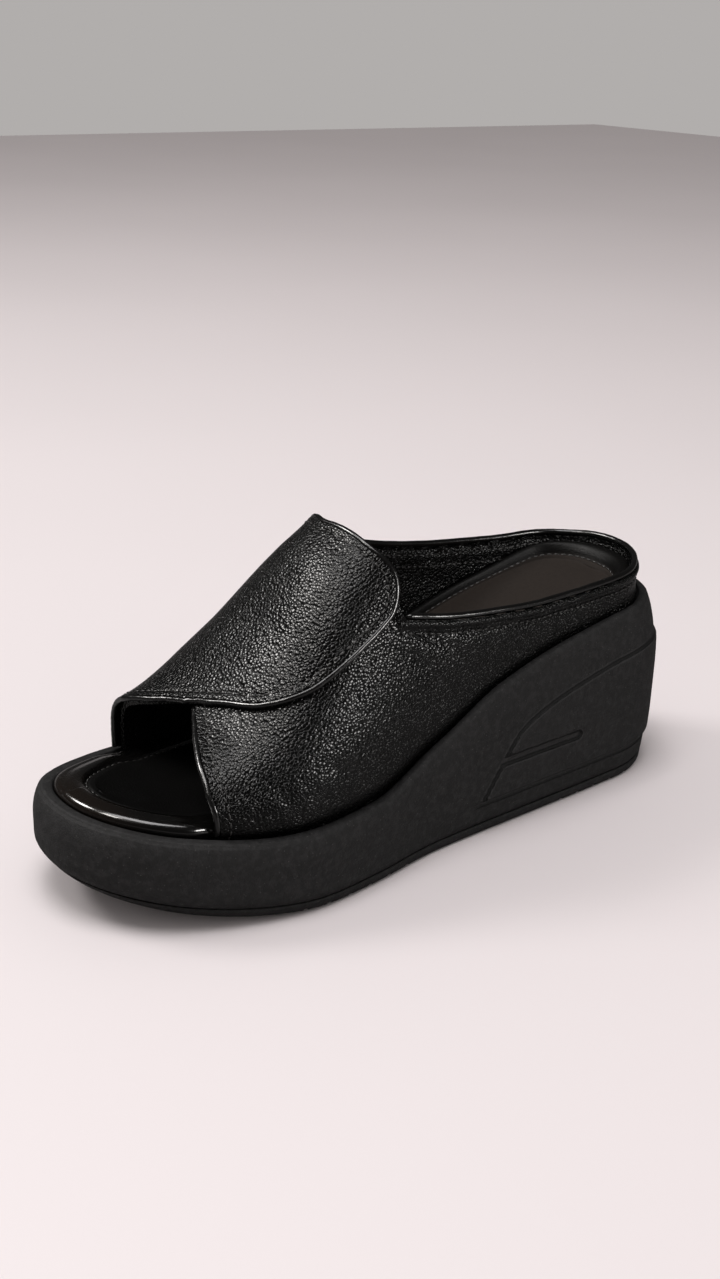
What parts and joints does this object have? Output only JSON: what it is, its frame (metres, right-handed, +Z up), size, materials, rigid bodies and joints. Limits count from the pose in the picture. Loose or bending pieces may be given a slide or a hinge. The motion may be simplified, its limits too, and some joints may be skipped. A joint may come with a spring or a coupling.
{
  "type": "wedge slide sandal",
  "caption": "Left wedge slide sandal with an open toe, a flap over the instep, a padded insole and a moulded platform sole.",
  "frame": {"origin": "on the floor under the middle of the sole's box", "axes": "+Y towards the toe, +X towards the inner side of the foot, +Z up"},
  "size_m": [0.0959, 0.255, 0.114],
  "materials": {
    "outsole": "matte charcoal rubber",
    "sole": "matte charcoal moulded foam with a fine speckle",
    "insole": "smooth black, glossy at the rolled edge",
    "leather": "black grained leather, half gloss",
    "piping": "smooth black, glossy"
  },
  "bodies": {
    "root": {"outsole": "outsole", "sole_wedge": "sole", "insole": "insole", "upper": "leather", "vamp_flap": "leather", "topline_binding": "piping", "toe_binding": "piping", "flap_binding": "piping"}
  },
  "joints": []
}
